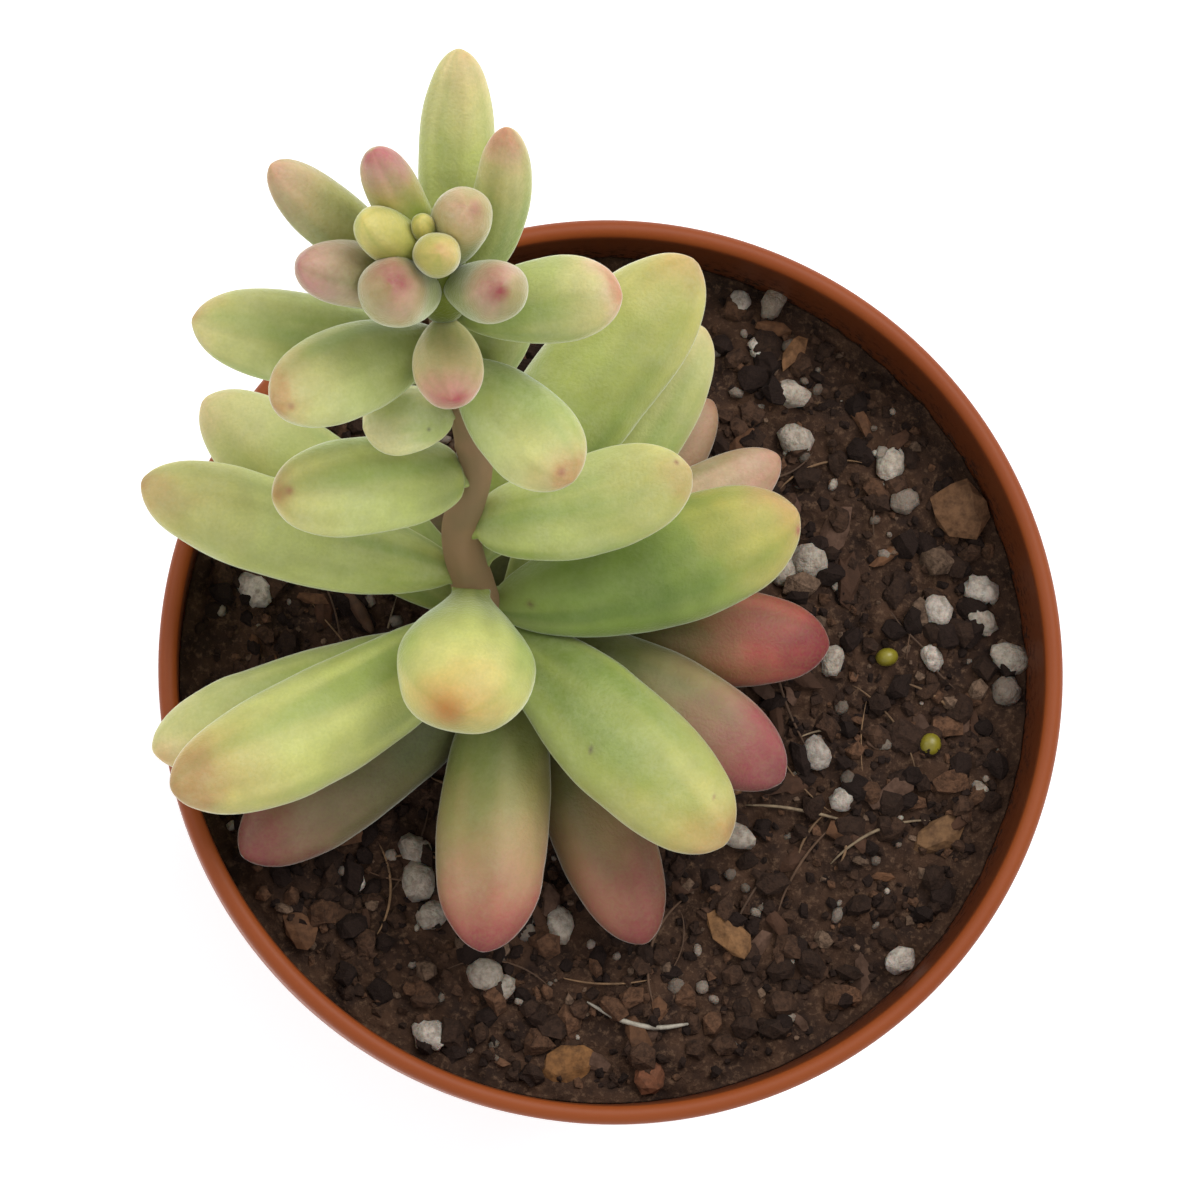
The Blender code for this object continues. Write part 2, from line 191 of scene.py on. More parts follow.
def smoothNoise(points, size, seed=0, octaves=1):
    total = 0.0
    for octave in range(octaves):
        place = points / size * 2**octave + (seed * 7.31 + octave * 3.7)
        cell = np.floor(place).astype(int)
        t = place - cell
        t = t**3 * (t * (t * 6 - 15) + 10)
        for corner in np.ndindex(2, 2, 2):
            weight = np.prod(np.where(corner, t, 1 - t), axis=-1)
            at = (cell + corner) % 32
            total = total + 0.5**octave * weight * lattice[at[..., 0], at[..., 1], at[..., 2]]
    return total


def unit(vectors):
    return vectors / np.linalg.norm(vectors, axis=-1, keepdims=True)


# Camera: it looks down on the pot's rim from 8 degrees off the vertical, to the front left.
camera = {"aim": (-1.05, 4.85, 58.0), "tilt": 8.0, "turn": 40.0, "distance": 400.0, "width": 85.8,
          "sensor": 36.0, "nearest": 0.01, "furthest": 20.0}


def addCamera(look):
    # back = (-sin tilt sin turn, -sin tilt cos turn, cos tilt); the picture's top is to +Y
    tilt, turn = math.radians(look["tilt"]), math.radians(look["turn"])
    back = Vector((-math.sin(tilt) * math.sin(turn), -math.sin(tilt) * math.cos(turn), math.cos(tilt)))
    right = Vector((0, 1, 0)).cross(back).normalized()
    up = back.cross(right)
    data = bpy.data.cameras.new("camera")
    data.sensor_width = look["sensor"]
    data.lens = look["sensor"] * look["distance"] / look["width"]
    data.clip_start = look["nearest"]
    data.clip_end = look["furthest"]
    thing = bpy.data.objects.new("camera", data)
    bpy.context.scene.collection.objects.link(thing)
    thing.matrix_world = Matrix((right, up, back)).transposed().to_4x4()
    thing.location = (Vector(look["aim"]) + back * look["distance"]) * mm
    bpy.context.scene.camera = thing


# Studio: a faintly glowing white table, an even pale sky, a large soft light above to the back
# right and a weak one to the left.
studio = {"sky": "#f4f6fa", "skyStrength": 0.72, "lightsAim": (0, 0, 60),
          # name, place, width and watts
          "lights": (("keyLight", (330, 420, 900), 650, 5.6), ("fillLight", (-500, 150, 700), 500, 0.9)),
          "floorSide": 4000.0, "floorGlow": 0.45, "floorColours": ("#fbfbfa", "#f8f8f9")}


def addSoftLight(name, place, size, watts, aim):
    light = bpy.data.lights.new(name, "AREA")
    light.shape = "DISK"
    light.size = size * mm
    light.energy = watts
    thing = bpy.data.objects.new(name, light)
    bpy.context.scene.collection.objects.link(thing)
    thing.location = Vector(place) * mm
    thing.rotation_euler = (Vector(aim) - Vector(place)).to_track_quat("-Z", "Y").to_euler()


def addStudio(look):
    world = bpy.data.worlds.new("sky")
    world.use_nodes = True
    sky = world.node_tree.nodes["Background"]
    sky.inputs["Color"].default_value = rgba(look["sky"])
    sky.inputs["Strength"].default_value = look["skyStrength"]
    bpy.context.scene.world = world
    bpy.context.scene.view_settings.view_transform = "Standard"
    for light in look["lights"]:
        addSoftLight(*light, look["lightsAim"])
    addFloor(look)


def addFloor(look):
    # a white table lit from below, which only just shows under the pot's shadow
    glow = {"Roughness": 0.9, "Emission Color": rgba("#ffffff"), "Emission Strength": look["floorGlow"]}
    card, tree, shader, place = startMaterial("whiteLightTable", glow)
    tint = mixOf(tree, noiseOf(tree, place, 400.0), *map(rgba, look["floorColours"]))
    tree.links.new(tint, shader.inputs["Base Color"])
    side = look["floorSide"]
    corners = np.array([(-side, -side, 0), (side, -side, 0), (side, side, 0), (-side, side, 0)])
    addMesh("floor", corners, [np.array([[0, 1, 2, 3]])], card)


addCamera(camera)
addStudio(studio)
print("camera and studio made")


# Stem

stem = {"bottom": 40.0, "top": 92.5, "rows": 220, "columns": 56, "girth": 1.5,
        "knobs": 0.07, "knobSize": 1.6, "ridge": 0.05, "ridgeSize": 0.5,
        "scarRing": 0.16, "scarPit": 0.08, "scarShade": 0.35,
        # painted shade: how much darker the stem is near the soil line and above the head's foot
        "soilTop": 51.0, "soilShade": 0.3, "headFoot": 84.0, "headShade": 0.25,
        # height, and degrees round the stem
        "scars": ((54.0, 200), (59.5, 40), (69.0, 300), (72.6, 250), (77.5, 320), (79.0, 180), (83.0, 215))}
# x, y, height and radius
stemPath = np.array([(-5.0, 1.5, 40, 1.6), (-5.7, 1.8, 51, 1.6), (-10.7, 5.0, 66, 1.5),
                     (-11.9, 8.5, 71, 1.3), (-11.2, 12.0, 76, 1.2), (-12.2, 15.8, 81, 1.2),
                     (-13.9, 19.9, 87, 1.1), (-14.6, 22.0, 92, 1.0), (-15.6, 23.9, 97, 0.9)])


def stemMiddle(height):
    # a cubic through the path's points in rising order, whose slopes come from their neighbours
    points, z = stemPath[:, :3], stemPath[:, 2]
    slopes = np.gradient(points, z, axis=0)
    height = np.atleast_1d(np.asarray(height, float))
    i = np.clip(np.searchsorted(z, height) - 1, 0, len(z) - 2)
    span = (z[i + 1] - z[i])[:, None]
    t = (height - z[i])[:, None] / span
    start = (2 * t**3 - 3 * t**2 + 1) * points[i] + (t**3 - 2 * t**2 + t) * span * slopes[i]
    end = (3 * t**2 - 2 * t**3) * points[i + 1] + (t**3 - t**2) * span * slopes[i + 1]
    return start + end


def stemRadius(height):
    return np.interp(height, stemPath[:, 2], stemPath[:, 3])


def stemBark():
    # corky young succulent stem: dry and matt, tan with darker lengthwise lines
    dry = {"Roughness": 0.8, "Specular IOR Level": 0.3}
    material, tree, shader, place = startMaterial("corkyStemBark", dry)
    along = attributeOf(tree, "bark", "Vector")
    longer = {"Vector": along, "Scale": (1.0, 1.0, 0.22)}
    stretch = addNode(tree, "Mapping", None, longer).outputs["Vector"]
    lines = noiseOf(tree, stretch, 0.45, 3.0)
    blotch = noiseOf(tree, place, 3.5)
    colour = mixOf(tree, rangeOf(tree, lines, 0.35, 0.7), rgba("#b48e64"), rgba("#e0b88e"))
    colour = mixOf(tree, rangeOf(tree, blotch, 0.45, 0.7, 0.0, 0.55), colour, rgba("#a8986c"))
    # the mesh's tint darkens the scars and holds the painted shade near the soil and below the head
    tint = attributeOf(tree, "tint")
    colour = mixOf(tree, 1.0, colour, tint, "MULTIPLY")
    tree.links.new(colour, shader.inputs["Base Color"])
    bumpOf(tree, shader, lines, 0.12)
    return material


def stemRelief(look, bark, a, z):
    # noise stretched lengthwise, and round each old leaf scar a low ring of cork with a darker pit; the
    # shade it also returns holds the scars' darker colour and painted shade
    relief = look["knobs"] * smoothNoise(bark * (1, 1, 0.5), look["knobSize"], 1, 2)
    relief += look["ridge"] * smoothNoise(bark * (1, 1, 0.2), look["ridgeSize"], 2)
    shade = np.ones_like(z)
    for scarHeight, degrees in look["scars"]:
        sideways = np.angle(np.exp(1j * (a - math.radians(degrees)))) * 1.2
        away = np.hypot(sideways, (z - scarHeight) * 1.5)
        ring, pit = np.exp(-((away - 0.75) / 0.25) ** 2), np.exp(-((away / 0.5) ** 2))
        relief += look["scarRing"] * ring - look["scarPit"] * pit
        shade -= look["scarShade"] * np.exp(-((away / 0.6) ** 2))
    # painted shade: the stem is darker near the soil line and above the head's foot, where the head shades
    # it
    soilShade = look["soilShade"] * np.exp(-(z - look["soilTop"]) / 1.5)
    shade *= np.clip(1.0 - look["headShade"] * (z > look["headFoot"]) - soilShade, 0.4, 1.0)
    return relief, shade


def makeStem(look):
    # a circle of the path's radius carried up its middle
    height = np.linspace(look["bottom"], look["top"], look["rows"])
    middle = stemMiddle(height)
    along = unit(np.gradient(middle, axis=0))
    side = unit(np.cross(along, (0.0, 1.0, 0.0)))
    front = np.cross(along, side)
    turn = evenTurns(look["columns"])
    a, z = np.meshgrid(turn, height)
    bark = ringPoints(look["girth"], a, z)
    relief, shade = stemRelief(look, bark, a, z)
    radius = (stemRadius(z) + relief)[..., None]
    ring = np.cos(a)[..., None] * side[:, None] + np.sin(a)[..., None] * front[:, None]
    grid = middle[:, None] + radius * ring
    tint = np.concatenate([np.repeat(shade[..., None], 3, -1), np.ones_like(z)[..., None]], -1)
    attributes = {"bark": closedTube(bark), "tint": closedTube(tint)}
    piece = addMesh("stem", closedTube(grid), tubeFaces(*z.shape), stemBark(), attributes)
    return finishPiece(piece, "stem_bark", "stem")


makeStem(stem)
print("stem made")


# Leaves

leafShape = {"rootWidth": 0.28, "widestAt": 0.60, "roundness": 2.3, "thickness": 0.78,
             "flatterTop": 0.85, "sunk": -0.05, "end": 0.9995, "rows": 90, "columns": 60,
             "facets": (0.018, 0.012), "dent": 0.015, "dentSize": 2.8,
             "nib": 0.1, "nibGirth": 0.16, "nibFrom": 0.8}
budShape = leafShape | {"thickness": 0.95, "flatterTop": 1.0, "rows": 70, "columns": 48}

# filter is what the light needs to give the colours of the looks below
leafPaint = {"filter": (0.89, 0.84, 0.66), "warp": 0.06, "warpSize": 2.2, "skew": 0.05,
             "streakTurn": 1.7, "streakRun": 1.1, "deepStreak": (0.42, 0.24, 0.55),
             "paleStreak": (0.5, 0.5, 0.8), "paintedUnderShade": 0.6, "spotShift": 0.12, "spotWidth": 5.5,
             "spot": 0.9, "mottle": 0.07, "mottleSize": 1.1, "bloomAndPaintedHighlight": 0.5, "bloomSize": 1.8}


# A look is the colour of the tip's spot, its radius on a leaf 5.5 wide, the painted shade on the flank that
# faces down, the share of wax bloom with its painted highlight on top, and colours from root to tip as
# (share of the length, colour).
def lookOf(spot, spotSize, paintedUnderShade, bloomAndPaintedHighlight, *stops):
    return {"spot": spot, "spotSize": spotSize, "paintedUnderShade": paintedUnderShade, "bloomAndPaintedHighlight": bloomAndPaintedHighlight, "stops": stops}


leafLooks = {
    "green": lookOf("#c48a52", 0.8, "#9aaa58", 0.3,
        (0, "#8c9c4c"), (0.25, "#a4b262"), (0.6, "#b4c072"), (0.88, "#c8c87c"), (1, "#cfc07c")),
    "meadow": lookOf("#b48858", 0.7, "#a4b260", 0.3,
        (0, "#a3b25c"), (0.3, "#b2c06e"), (0.65, "#bec87e"), (0.88, "#c8c67c"), (1, "#c4ac70")),
    "fresh": lookOf("#a87850", 0.8, "#94a454", 0.26,
        (0, "#869644"), (0.3, "#92a44e"), (0.6, "#a2ae58"), (0.85, "#c2be6e"), (1, "#cca868")),
    "deepGreen": lookOf("#b8705a", 0.6, "#94a452", 0.12,
        (0, "#889c4e"), (0.25, "#768f3b"), (0.5, "#6c8633"),
        (0.68, "#8ea24a"), (0.85, "#bcb862"), (1, "#c4a068")),
    # golden: its pale root colours are painted light, lighter where the front whorl leaf shades this leaf
    "golden": lookOf("#a87448", 0.8, "#a8b05c", 0.24,
        (0, "#aab868"), (0.3, "#b4c26e"), (0.7, "#c6cb7e"), (0.9, "#c8bc74"), (1, "#bc9460")),
    "amber": lookOf("#bc742c", 0.85, "#b8c070", 0.2,
        (0, "#9bab58"), (0.4, "#b2c070"), (0.7, "#c8ce7c"), (0.85, "#d4d084"), (1, "#d8bc74")),
    "pale": lookOf("#d4b084", 0.7, "#acba66", 0.3,
        (0, "#a3b25c"), (0.3, "#b0be6c"), (0.65, "#bec87e"), (0.9, "#d4d098"), (1, "#dccca0")),
    # a paler copy of the leaf colours: painted light on a leaf that lies in the shade of the head
    "paleWithPaintedLight": lookOf("#d8c090", 0.6, "#b4c070", 0.6,
        (0, "#d4dc98"), (0.5, "#e0e4a8"), (1, "#e8e0b0")),
    "peach": lookOf("#c07c72", 0.7, "#a8b464", 0.28,
        (0, "#93a656"), (0.3, "#a2b264"), (0.65, "#b6c078"),
        (0.85, "#ccc48c"), (0.94, "#d6b89a"), (1, "#cc947e")),
    "rustTip": lookOf("#b07c4c", 0.7, "#9caa5e", 0.3,
        (0, "#7f944a"), (0.3, "#92a45a"), (0.6, "#b2be76"),
        (0.85, "#c6c884"), (0.95, "#ccbc84"), (1, "#c49a68")),
    "olivePeach": lookOf("#c08480", 0.7, "#8e9852", 0.3,
        (0, "#84904a"), (0.4, "#969e58"), (0.75, "#a49e66"), (0.9, "#c0a488"), (1, "#c89888")),
    # blush: its pale root colours are painted light, lighter where the young leaves above shade this leaf
    "blush": lookOf("#ac4460", 0.85, "#bca084", 0.3,
        (0, "#ccc890"), (0.35, "#ccc08c"), (0.7, "#c8b084"), (0.9, "#c8948c"), (1, "#b85c6c")),
    "rosyBud": lookOf("#9c304e", 0.85, "#989c58", 0.3,
        (0, "#8c9c44"), (0.5, "#98a05a"), (0.72, "#b09c76"), (0.9, "#c49c92"), (1, "#b06c72")),
    "greenRosy": lookOf("#ac4466", 0.7, "#a4ac5a", 0.22,
        (0, "#98aa48"), (0.5, "#aab45c"), (0.72, "#bcac70"), (0.88, "#c48c8e"), (1, "#b45c72")),
    "peachBud": lookOf("#c08088", 0.7, "#b4b074", 0.34,
        (0, "#a2ae58"), (0.45, "#b8ba74"), (0.75, "#ccb48c"), (1, "#cc9c90")),
    "olivePinkBud": lookOf("#b05c72", 0.8, "#948a58", 0.28,
        (0, "#8c9048"), (0.5, "#98925c"), (0.75, "#b09486"), (1, "#bc7c86")),
    "limeBud": lookOf("#d6c070", 0.6, "#a6b450", 0.16,
        (0, "#9cae44"), (0.5, "#b8bd60"), (1, "#d4ca7c")),
    "goldBud": lookOf("#cca074", 0.55, "#acb452", 0.16,
        (0, "#9cae44"), (0.5, "#bcbe60"), (0.85, "#ccbe70"), (1, "#d0b07c")),
    "tanRed": lookOf("#902c41", 1.4, "#a87061", 0.14,
        (0, "#6c7440"), (0.3, "#84884a"), (0.5, "#9e925e"),
        (0.72, "#b0866d"), (0.88, "#a85253"), (1, "#8c2c3f")),
    "duskRed": lookOf("#8c3448", 1.4, "#a05858", 0.1,
        (0, "#5a5c30"), (0.35, "#746c40"), (0.6, "#96785a"), (0.8, "#9c5852"), (1, "#903844")),
    # crimson: its dark root colours are painted shadow, standing for the shade that the right whorl leaf
    # casts on this leaf
    "crimson": lookOf("#8c243d", 1.7, "#6c3431", 0.06,
        (0, "#38401a"), (0.35, "#545522"), (0.55, "#78643f"),
        (0.72, "#a06051"), (0.88, "#a8484b"), (1, "#8a2439")),
    "pinkEdge": lookOf("#902c4c", 1.8, "#a85a68", 0.12,
        (0, "#626c38"), (0.35, "#727640"), (0.6, "#8e7c58"),
        (0.78, "#9c6860"), (0.92, "#9c4054"), (1, "#8c2848")),
    "palePink": lookOf("#bc7474", 1.2, "#b09880", 0.34,
        (0, "#9ca864"), (0.35, "#b4b47a"), (0.65, "#c8b08c"), (0.9, "#cc9c94"), (1, "#c0847c")),
    "rosyTan": lookOf("#b0746a", 1.2, "#987c66", 0.24,
        (0, "#8c8c54"), (0.5, "#a88872"), (1, "#b8867a")),
    "shadeRed": lookOf("#883444", 1.6, "#884c50", 0.12,
        (0, "#4c5434"), (0.4, "#6a6a48"), (0.7, "#866e5a"), (0.88, "#8c484c"), (1, "#843444")),
}


def leafOf(root, tip, width, look, lift=0.0, sway=0.0, neck=0.8, bow=0.0):
    # root is its height on the stem. lift, sway and bow say how far its middle is bent up, to the
    # left as seen from the stem, and away from it. With neck 1 it widens slowly, with 0.5 at once.
    return {"root": root, "tip": tip, "width": width, "look": look,
            "lift": lift, "sway": sway, "neck": neck, "bow": bow}


headLeaves = {
    "back": leafOf(88.0, (-13.8, 36.5, 97.0), 5.0, "pale", lift=-1.0, sway=-0.3),
    "back_right": leafOf(89.0, (-10.9, 30.7, 100.5), 3.9, "peach", lift=-1.1, sway=-1.3),
    "back_left": leafOf(88.5, (-25.9, 28.7, 97.0), 4.3, "olivePeach", lift=-0.5, neck=0.6),
    "right": leafOf(88.0, (-2.8, 21.2, 92.5), 5.8, "peach", lift=-0.3, sway=0.3),
    "front": leafOf(89.0, (-14.0, 14.0, 94.0), 4.7, "blush", lift=-1.0),
    "left": leafOf(83.6, (-30.7, 20.2, 86.2), 6.2, "rustTip"),
    "front_left": leafOf(86.5, (-25.5, 13.9, 92.0), 6.2, "rustTip", lift=-0.3),
    "front_right": leafOf(84.5, (-5.6, 9.6, 88.0), 6.4, "rustTip", lift=-0.3),
}
middleLeaves = {
    "high_left": leafOf(80.5, (-19.1, 13.7, 82.0), 4.6, "paleWithPaintedLight", neck=0.6),
    "left": leafOf(75.5, (-25.1, 9.1, 81.0), 6.7, "meadow", neck=0.5),
    "back": leafOf(80.0, (-9.1, 23.8, 86.0), 4.6, "green"),
    "right": leafOf(71.0, (3.4, 11.8, 77.0), 7.0, "meadow", sway=-0.7, neck=0.6),
}
whorlLeaves = {
    "left": leafOf(67.0, (-33.8, 11.5, 70.0), 6.8, "meadow", sway=0.7, neck=0.7),
    "right": leafOf(63.5, (11.9, 10.1, 68.0), 8.6, "deepGreen", sway=-1.0, neck=0.7),
    "high_back_right": leafOf(67.5, (4.2, 26.9, 73.0), 8.6, "fresh", sway=0.9),
    "back_right": leafOf(59.5, (5.4, 23.2, 67.0), 7.0, "pale"),
    "front_right": leafOf(62.0, (7.0, -13.0, 66.0), 8.6, "fresh"),
    "front": leafOf(66.3, (-12.1, -4.9, 76.0), 9.7, "amber", lift=-1.0, neck=1.2),
    "front_left": leafOf(62.5, (-31.6, -9.6, 68.5), 8.0, "golden", sway=1.3, neck=0.7),
    "low_left": leafOf(57.6, (-32.8, -6.5, 62.5), 7.0, "pale"),
    "back_left": leafOf(61.0, (-29.5, 17.9, 65.0), 7.6, "pale"),
}
lowLeaves = {
    "back_right": leafOf(53.0, (7.3, 19.7, 55.2), 5.5, "rosyTan", lift=0.5),
    "right_back": leafOf(57.0, (11.7, 15.2, 59.0), 5.9, "palePink"),
    "right": leafOf(54.2, (15.5, 1.8, 57.0), 7.2, "crimson", lift=0.2, sway=0.6),
    "right_front": leafOf(58.0, (11.8, -8.1, 59.5), 7.2, "pinkEdge", lift=0.3, sway=1.0),
    "front_right": leafOf(53.0, (2.4, -19.5, 56.0), 7.0, "duskRed", lift=0.5),
    "front": leafOf(56.3, (-9.5, -20.3, 59.7), 8.0, "tanRed"),
    "front_left": leafOf(53.2, (-26.4, -13.5, 57.4), 7.4, "shadeRed"),
    "back_left": leafOf(53.2, (-16.5, 13.5, 55.5), 5.6, "shadeRed"),
    "back": leafOf(56.3, (-9.2, 18.6, 59.5), 5.8, "shadeRed"),
}
crownLeaves = {
    "back_left": leafOf(94.0, (-19.6, 28.8, 102.0), 3.5, "greenRosy", lift=-0.6, neck=0.6),
    "left": leafOf(94.5, (-20.2, 24.3, 102.0), 3.5, "limeBud", lift=-0.5, neck=0.6),
    "tip_back": leafOf(95.5, (-16.5, 24.7, 101.0), 1.7, "limeBud"),
    "tip_front": leafOf(95.0, (-15.4, 22.1, 103.0), 3.1, "goldBud"),
    "back_right": leafOf(93.5, (-13.6, 25.2, 102.5), 3.9, "peachBud", neck=0.6, bow=0.8),
    "far_left": leafOf(92.0, (-24.1, 21.8, 99.0), 4.4, "olivePinkBud", lift=-0.6, neck=0.6),
    "front_left": leafOf(92.0, (-18.3, 20.2, 101.5), 4.7, "rosyBud", neck=0.6, bow=1.2),
    "front_right": leafOf(92.5, (-11.3, 20.3, 101.5), 4.2, "rosyBud", neck=0.6, bow=1.2),
}

# name of the pieces, start of the nodes' names, slot, leaves and the first leaf's seed
leafGroups = (("headLeaf", "leaf_head_", "head_leaf", headLeaves, 10),
              ("middleLeaf", "leaf_mid_", "leaf", middleLeaves, 20),
              ("whorlLeaf", "leaf_whorl_", "leaf", whorlLeaves, 24),
              ("lowLeaf", "leaf_low_", "low_leaf", lowLeaves, 40))

# small marks: share of the length, degrees round from the left flank over the top, size, colour
leafSpecks = {
    "whorlLeafFrontRight": ((0.5, 122, 0.2, "#5c5030"), (0.88, 60, 0.14, "#a07c48")),
    "whorlLeafRight": ((0.1, 100, 0.25, "#6c5c34"), (0.98, 150, 0.35, "#a04840")),
    "middleLeafHighLeft": ((0.35, 60, 0.14, "#504828"),),
    "middleLeafLeft": ((0.95, 95, 0.28, "#a0603c"),),
    "middleLeafRight": ((0.97, 60, 0.2, "#8c5038"),),
    "headLeafFrontRight": ((0.96, 100, 0.3, "#a05a44"),),
    "headLeafFrontLeft": ((0.96, 60, 0.25, "#a87048"),),
}


def leafGirth(s, neck, shape):
    # root share, then a sine rise to 1 at the widest place, then sqrt(1 - u^roundness) to the tip
    root, widestAt = shape["rootWidth"], shape["widestAt"]
    opening = np.sin(0.5 * math.pi * np.clip(s / widestAt, 0, 1) ** neck)
    u = np.clip((s - widestAt) / (1 - widestAt), 0, 1)
    ending = np.sqrt(np.clip(1 - u ** shape["roundness"], 0, 1))
    return np.where(s < widestAt, root + (1 - root) * opening, ending)


def leafGrid(leaf, shape, seed):
    # an ellipse, flatter on top, carried along a quadratic Bezier curve from the stem's middle to
    # the tip; s is 0 at the stem's skin and 1 at the tip, starts just inside the stem and comes
    # closer and closer on the round end
    root, tip = stemMiddle(leaf["root"])[0], np.array(leaf["tip"])
    width = leaf["width"]
    outward = unit((tip - root) * (1, 1, 0))
    across = np.array((-outward[1], outward[0], 0.0))
    bent = across * leaf["sway"] + outward * leaf["bow"] + np.array((0, 0, leaf["lift"]))
    control = (root + tip) / 2 + 2 * bent
    length = np.linalg.norm(tip - root)
    skin = stemRadius(leaf["root"]) / length
    body = shape["rows"] // 2
    toWidest = np.linspace(shape["sunk"], shape["widestAt"], body, endpoint=False)
    bend = np.linspace(0, math.pi / 2, shape["rows"] - body)
    toTip = shape["widestAt"] + (shape["end"] - shape["widestAt"]) * np.sin(bend)
    s = np.concatenate([toWidest, toTip])
    t = (skin + s * (1 - skin))[:, None]
    middle = (1 - t) ** 2 * root + 2 * t * (1 - t) * control + t**2 * tip
    along = unit((1 - t) * (control - root) + t * (tip - control))
    side = unit(across - along * (along @ across)[:, None])
    above = np.cross(along, side)
    girth = leafGirth(s, leaf["neck"], shape)
    turn = evenTurns(shape["columns"])
    a, s = np.meshgrid(turn, s)
    girth = np.repeat(girth[:, None], len(turn), 1)
    draw = np.random.default_rng(seed)
    phase = draw.uniform(0, math.tau, 2)
    three, five = shape["facets"]
    facets = 1 + three * np.cos(3 * a + phase[0]) + five * np.cos(5 * a + phase[1] + 2 * s)
    half = 0.5 * width * girth * facets
    up = np.sin(a)
    up = shape["thickness"] * np.where(up > 0, shape["flatterTop"] * up, up)
    sideways = (half * np.cos(a))[..., None] * side[:, None]
    grid = middle[:, None] + sideways + (half * up)[..., None] * above[:, None]
    outwards = unit(grid - middle[:, None] + 1e-6)
    dents = shape["dent"] * width * smoothNoise(grid, shape["dentSize"], seed % 9)
    grid = grid + outwards * (dents * np.clip(girth * 2 - 0.4, 0, 1))[..., None]
    nib = shape["nib"] * np.exp(-((girth / shape["nibGirth"]) ** 2)) * (s > shape["nibFrom"])
    grid = grid + along[:, None] * nib[..., None] * min(1.0, width / 5)
    return grid, s, a


def leafTint(name, leaf, grid, s, a, seed):
    # the look's colours along the leaf, warped by noise, with greener and paler streaks along it,
    # then its painted shade on the flank that faces down, its spot near the tip and the wax bloom, which
    # is stronger on top as a painted highlight, in the fourth channel
    look, paint = leafLooks[leaf["look"]], leafPaint
    width = leaf["width"]
    warp = paint["warp"] * smoothNoise(grid, paint["warpSize"], seed % 7 + 1, 2)
    warp = warp + paint["skew"] * np.cos(a + seed)
    places = [share for share, _ in look["stops"]]
    colours = np.array([linearOf(colour) for _, colour in look["stops"]])
    along = np.clip(s + warp * np.clip(s * 3, 0, 1), 0, 1)
    tint = np.stack([np.interp(along, places, colours[:, i]) for i in range(3)], -1)
    flow = ringPoints(paint["streakTurn"], a, paint["streakRun"] * s + seed)
    streak = smoothNoise(flow, 1.0, seed % 4, 3)[..., None] * np.clip(1.3 - s, 0, 1)[..., None]
    deep, paler = np.clip(1.2 * streak, 0, 0.6), np.clip(-0.9 * streak, 0, 0.45)
    tint = tint * (1 - deep * paint["deepStreak"]) * (1 + paler * paint["paleStreak"])
    # painted shade: the flank that faces down is mixed toward the look's darker painted shade colour
    down = np.clip(-np.sin(a), 0, 1)[..., None] * paint["paintedUnderShade"]
    tint = tint * (1 - down) + linearOf(look["paintedUnderShade"]) * down
    shift = np.random.default_rng(seed).uniform(-paint["spotShift"], paint["spotShift"], 3)
    spotAt = grid[-1].mean(axis=0) + shift * width
    away = np.linalg.norm(grid - spotAt, axis=-1) / (look["spotSize"] * width / paint["spotWidth"])
    spot = (np.exp(-(away**2)) * paint["spot"])[..., None]
    tint = tint * (1 - spot) + linearOf(look["spot"]) * spot
    mottle = 1 + paint["mottle"] * smoothNoise(grid, paint["mottleSize"], seed % 5, 2)
    tint *= mottle[..., None] * paint["filter"]
    for share, degrees, size, colour in leafSpecks.get(name, ()):
        row = np.abs(s[:, 0] - share).argmin()
        column = np.abs(a[0] - math.radians(degrees)).argmin()
        near = np.exp(-((np.linalg.norm(grid - grid[row, column], axis=-1) / size) ** 2))[..., None]
        tint = tint * (1 - near) + linearOf(colour) * near
    # wax bloom plus a painted highlight: it is stronger on the top of the leaf, the side that faces the
    # light
    bloomAndPaintedHighlight = 0.6 + 0.4 * np.clip(np.sin(a), 0, 1) + 0.4 * smoothNoise(grid, paint["bloomSize"], seed % 6, 3)
    bloomAndPaintedHighlight = np.clip(paint["bloomAndPaintedHighlight"] * look["bloomAndPaintedHighlight"] * bloomAndPaintedHighlight * (1 - 0.6 * spot[..., 0]), 0, 1)
    return np.concatenate([np.clip(tint, 0, 1), bloomAndPaintedHighlight[..., None]], -1)


def leafSkin():
    # succulent leaf under powdery wax: light goes in and comes back yellow-green, the wax is matt
    # and pale and shows most at the outline, where sheen stands for it
    inputs = {"Roughness": 0.5, "Specular IOR Level": 0.35, "Subsurface Weight": 0.35,
              "Subsurface Radius": (1.0, 0.9, 0.35), "Subsurface Scale": 0.0016,
              "Sheen Weight": 1.0, "Sheen Roughness": 0.3, "Sheen Tint": rgba("#f4f8ea")}
    material, tree, shader, place = startMaterial("waxyLeafSkin", inputs)
    tint = addNode(tree, "Attribute", {"attribute_name": "tint"})
    mottle = noiseOf(tree, place, 0.4, 4.0, 0.65)
    grain = noiseOf(tree, place, 0.22, 2.0)
    # the wax bloom from the tint's fourth channel also holds the painted highlight on each leaf's top
    bloomAndPaintedHighlight = timesOf(tree, tint.outputs["Alpha"], rangeOf(tree, mottle, 0.32, 0.68, 0.6, 1.4))
    greener = rangeOf(tree, grain, 0.35, 0.65, 0.0, 0.14)
    speckled = mixOf(tree, greener, tint.outputs["Color"], rgba("#7d8f3c"))
    colour = mixOf(tree, bloomAndPaintedHighlight, speckled, rgba("#dde0b8"))
    tree.links.new(colour, shader.inputs["Base Color"])
    tree.links.new(rangeOf(tree, mottle, 0.3, 0.7, 0.42, 0.62), shader.inputs["Roughness"])
    bumpOf(tree, shader, grain, 0.05)
    return material


def makeLeaf(name, node, leaf, slot, material, seed):
    grid, s, a = leafGrid(leaf, leafShape, seed)
    piece = addTubes(name, material, [(grid, leafTint(name, leaf, grid, s, a, seed))])
    return finishPiece(piece, slot, node)


